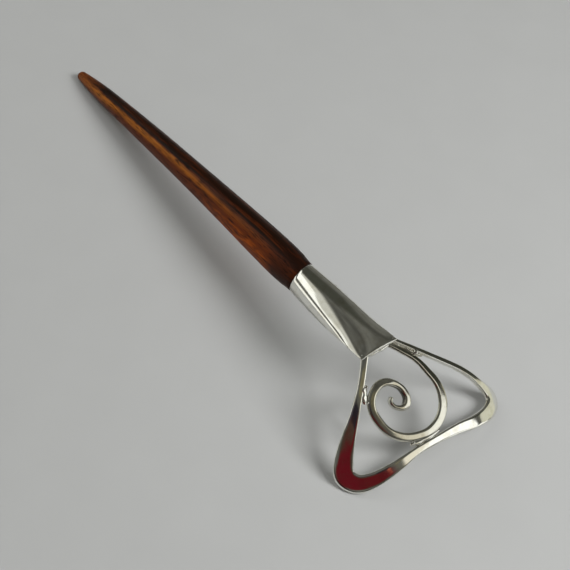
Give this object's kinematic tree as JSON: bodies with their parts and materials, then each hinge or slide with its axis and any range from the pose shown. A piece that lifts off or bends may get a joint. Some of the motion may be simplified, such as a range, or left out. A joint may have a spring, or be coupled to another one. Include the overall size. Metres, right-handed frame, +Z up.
{
  "type": "hair stick",
  "caption": "Hair stick with a tapered, gently bowed wooden shaft, a silver ferrule pressed flat at its end, and an open arched silver triangle that holds a scroll.",
  "frame": {"origin": "centre of the bounding box, on the surface that the stick lies on", "axes": "+X along the stick from the tip to the triangle, +Z up from the surface, +Y across, to the right as seen from the triangle's end"},
  "size_m": [0.1678, 0.0524, 0.023],
  "materials": {
    "rosewood": "dark oiled and waxed hardwood",
    "silver": "polished sterling silver"
  },
  "bodies": {
    "root": {"shaft": "rosewood", "silver_head": "silver"}
  },
  "joints": []
}
